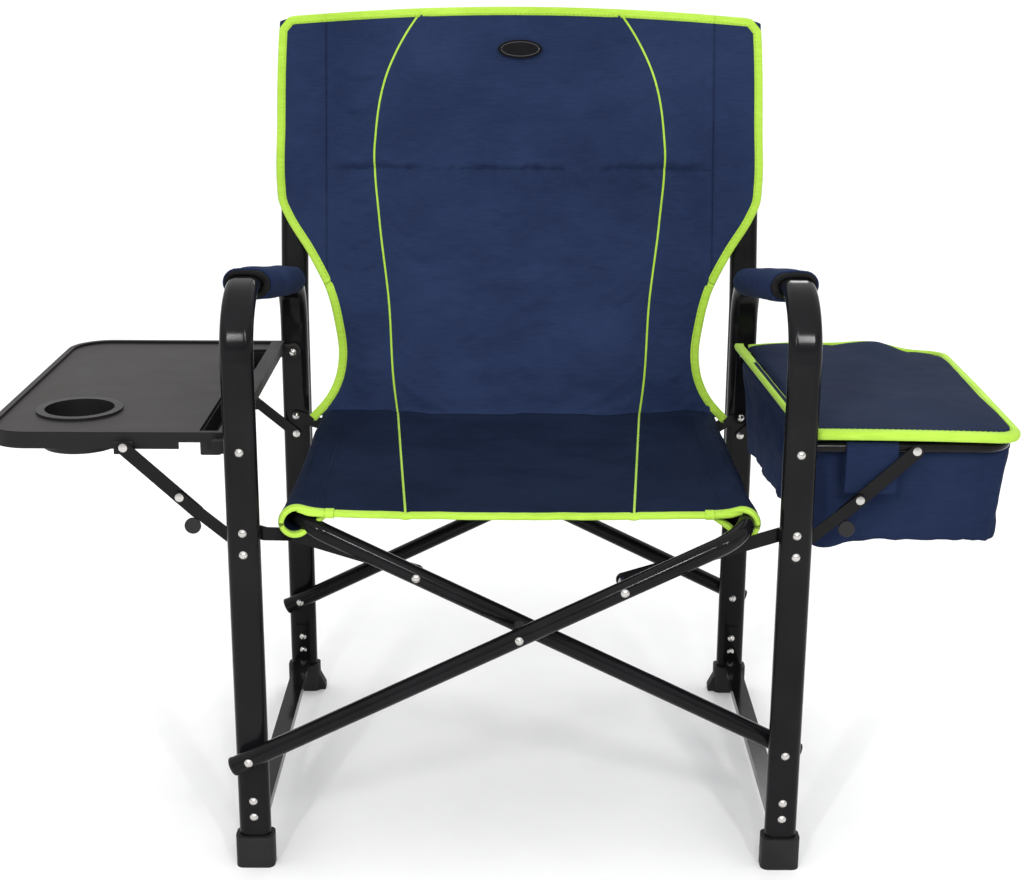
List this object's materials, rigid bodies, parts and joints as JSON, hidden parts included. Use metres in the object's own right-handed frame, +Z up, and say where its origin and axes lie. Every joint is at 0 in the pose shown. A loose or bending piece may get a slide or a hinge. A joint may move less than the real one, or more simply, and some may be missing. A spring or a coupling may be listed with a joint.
{
  "type": "folding camp chair",
  "caption": "Folding camp chair with sling seat and back, padded arms, a fold-down side table with cup holder and a fold-down cooler bag.",
  "frame": {"origin": "middle of the whole width and depth on the floor; the middle between the legs is 21.5 mm to the right of it", "axes": "+X to the right as seen from the front, +Y towards the back of the chair, +Z up"},
  "size_m": [1.191, 0.6577, 0.984],
  "materials": {
    "frame_black": "gloss powder coat",
    "nickel": "satin nickel",
    "navy_fabric": "matt woven polyester",
    "black_plastic": "textured",
    "gloss_plastic": "gloss",
    "rubber": "matt",
    "foam": "foam"
  },
  "bodies": {
    "left_frame": {"left_side_tube": "frame_black", "left_back_post": "frame_black", "left_lower_rail": "frame_black", "left_arm_foam": "foam", "left_arm_cover": "navy_fabric", "left_front_boot": "rubber", "left_rear_boot": "rubber", "left_front_rivets": "nickel", "left_rear_rivets": "nickel", "back_sling": "navy_fabric"},
    "right_frame": {"right_side_tube": "frame_black", "right_back_post": "frame_black", "right_lower_rail": "frame_black", "right_arm_foam": "foam", "right_arm_cover": "navy_fabric", "right_front_boot": "rubber", "right_rear_boot": "rubber", "right_front_rivets": "nickel", "right_rear_rivets": "nickel"},
    "cross_a": {"cross_tube_a": "frame_black", "cross_plugs_a": "gloss_plastic", "cross_rivets": "nickel", "cross_bushes": "black_plastic", "link_studs_a": "nickel"},
    "cross_b": {"cross_tube_b": "frame_black", "cross_plugs_b": "gloss_plastic", "link_studs_b": "nickel"},
    "seat": {"seat_sling": "navy_fabric"},
    "left_link_front": {"left_link_front": "frame_black"},
    "left_link_rear": {"left_link_rear": "frame_black"},
    "right_link_front": {"right_link_front": "frame_black"},
    "right_link_rear": {"right_link_rear": "frame_black"},
    "tray": {"tray_top": "black_plastic", "tray_cup_holder": "black_plastic", "tray_pockets": "black_plastic", "tray_rivets": "nickel"},
    "bag": {"bag_frame": "frame_black", "bag_body": "navy_fabric", "bag_band": "navy_fabric", "bag_rivets": "nickel"},
    "bag_lid": {"bag_lid": "navy_fabric"},
    "bag_base": {"bag_base": "black_plastic"},
    "tray_strut_lower_front": {"tray_strut_lower_front": "frame_black", "tray_strut_rivet_front": "nickel", "tray_strut_knob": "gloss_plastic"},
    "tray_strut_upper_front": {"tray_strut_upper_front": "frame_black"},
    "tray_strut_lower_rear": {"tray_strut_lower_rear": "frame_black", "tray_strut_rivet_rear": "nickel"},
    "tray_strut_upper_rear": {"tray_strut_upper_rear": "frame_black"},
    "bag_strut_lower_front": {"bag_strut_lower_front": "frame_black", "bag_strut_rivet_front": "nickel", "bag_strut_knob": "gloss_plastic"},
    "bag_strut_upper_front": {"bag_strut_upper_front": "frame_black"},
    "bag_strut_lower_rear": {"bag_strut_lower_rear": "frame_black", "bag_strut_rivet_rear": "nickel"},
    "bag_strut_upper_rear": {"bag_strut_upper_rear": "frame_black"}
  },
  "joints": [
    {"name": "chair_fold", "type": "hinge", "parent": "left_frame", "child": "cross_a", "pos_m": [-0.2945, 0, 0.148], "axis": [0, -1, 0], "range_deg": [0, 50.84], "deforming": ["back_sling", "seat_sling"]},
    {"name": "tube_crossing", "type": "hinge", "parent": "cross_a", "child": "cross_b", "pos_m": [0.0215, 0, 0.30349], "axis": [0, -1, 0], "range_deg": [-107.65, 0]},
    {"name": "right_foot_pivot", "type": "hinge", "parent": "cross_b", "child": "right_frame", "pos_m": [0.3375, 0, 0.148], "axis": [0, -1, 0], "range_deg": [0, 50.89]},
    {"name": "seat_rail_turn", "type": "hinge", "parent": "cross_b", "child": "seat", "pos_m": [-0.23854, 0, 0.43145], "axis": [0, -1, 0], "range_deg": [0, 53.85]},
    {"name": "left_link_front_pivot", "type": "hinge", "parent": "left_frame", "child": "left_link_front", "pos_m": [-0.2945, 0, 0.424], "axis": [0, -1, 0], "range_deg": [0, 90.08]},
    {"name": "right_link_front_pivot", "type": "hinge", "parent": "right_frame", "child": "right_link_front", "pos_m": [0.3375, 0, 0.424], "axis": [0, 1, 0], "range_deg": [0, 90.08]},
    {"name": "left_link_rear_pivot", "type": "hinge", "parent": "left_frame", "child": "left_link_rear", "pos_m": [-0.2945, 0, 0.424], "axis": [0, -1, 0], "range_deg": [0, 90.08]},
    {"name": "right_link_rear_pivot", "type": "hinge", "parent": "right_frame", "child": "right_link_rear", "pos_m": [0.3375, 0, 0.424], "axis": [0, 1, 0], "range_deg": [0, 90.08]},
    {"name": "tray_fold", "type": "hinge", "parent": "left_frame", "child": "tray", "pos_m": [-0.2945, 0, 0.52], "axis": [0, -1, 0], "range_deg": [0, 90]},
    {"name": "tray_strut_lower_front_pivot", "type": "hinge", "parent": "left_frame", "child": "tray_strut_lower_front", "pos_m": [-0.2945, 0, 0.398], "axis": [0, -1, 0], "range_deg": [0, 130.01]},
    {"name": "tray_strut_upper_front_pivot", "type": "hinge", "parent": "tray", "child": "tray_strut_upper_front", "pos_m": [-0.4305, 0, 0.518], "axis": [0, -1, 0], "range_deg": [-136.96, 0]},
    {"name": "tray_strut_lower_rear_pivot", "type": "hinge", "parent": "left_frame", "child": "tray_strut_lower_rear", "pos_m": [-0.2945, 0, 0.398], "axis": [0, -1, 0], "range_deg": [0, 130.01]},
    {"name": "tray_strut_upper_rear_pivot", "type": "hinge", "parent": "tray", "child": "tray_strut_upper_rear", "pos_m": [-0.4305, 0, 0.518], "axis": [0, -1, 0], "range_deg": [-136.96, 0]},
    {"name": "bag_fold", "type": "hinge", "parent": "right_frame", "child": "bag", "pos_m": [0.3375, 0, 0.52], "axis": [0, 1, 0], "range_deg": [0, 90], "deforming": ["bag_body"]},
    {"name": "bag_strut_lower_front_pivot", "type": "hinge", "parent": "right_frame", "child": "bag_strut_lower_front", "pos_m": [0.3375, 0, 0.398], "axis": [0, 1, 0], "range_deg": [0, 130.01]},
    {"name": "bag_strut_upper_front_pivot", "type": "hinge", "parent": "bag", "child": "bag_strut_upper_front", "pos_m": [0.4735, 0, 0.518], "axis": [0, 1, 0], "range_deg": [-136.96, 0]},
    {"name": "bag_strut_lower_rear_pivot", "type": "hinge", "parent": "right_frame", "child": "bag_strut_lower_rear", "pos_m": [0.3375, 0, 0.398], "axis": [0, 1, 0], "range_deg": [0, 130.01]},
    {"name": "bag_strut_upper_rear_pivot", "type": "hinge", "parent": "bag", "child": "bag_strut_upper_rear", "pos_m": [0.4735, 0, 0.518], "axis": [0, 1, 0], "range_deg": [-136.96, 0]},
    {"name": "bag_lid_hinge", "type": "hinge", "parent": "bag", "child": "bag_lid", "pos_m": [0.5955, 0, 0.53], "axis": [0, 1, 0], "range_deg": [0, 110]},
    {"name": "bag_base_lift", "type": "slide", "parent": "bag", "child": "bag_base", "axis": [0, 0, 1], "range_m": [0, 0.0945]}
  ],
  "couplings": [
    {"joint": "tube_crossing", "follows": "chair_fold", "ratio": -2.1164},
    {"joint": "right_foot_pivot", "follows": "chair_fold", "ratio": 1},
    {"joint": "seat_rail_turn", "follows": "chair_fold", "ratio": 1.0582},
    {"joint": "left_link_front_pivot", "follows": "chair_fold", "ratio": 1.7708},
    {"joint": "right_link_front_pivot", "follows": "chair_fold", "ratio": 1.7708},
    {"joint": "left_link_rear_pivot", "follows": "chair_fold", "ratio": 1.7708},
    {"joint": "right_link_rear_pivot", "follows": "chair_fold", "ratio": 1.7708},
    {"joint": "tray_strut_lower_front_pivot", "follows": "tray_fold", "ratio": 1.444},
    {"joint": "tray_strut_upper_front_pivot", "follows": "tray_fold", "ratio": -1.5212},
    {"joint": "tray_strut_lower_rear_pivot", "follows": "tray_fold", "ratio": 1.444},
    {"joint": "tray_strut_upper_rear_pivot", "follows": "tray_fold", "ratio": -1.5212},
    {"joint": "bag_strut_lower_front_pivot", "follows": "bag_fold", "ratio": 1.444},
    {"joint": "bag_strut_upper_front_pivot", "follows": "bag_fold", "ratio": -1.5212},
    {"joint": "bag_strut_lower_rear_pivot", "follows": "bag_fold", "ratio": 1.444},
    {"joint": "bag_strut_upper_rear_pivot", "follows": "bag_fold", "ratio": -1.5212},
    {"joint": "bag_base_lift", "follows": "bag_fold", "m_per_rad": 0.059842}
  ]
}
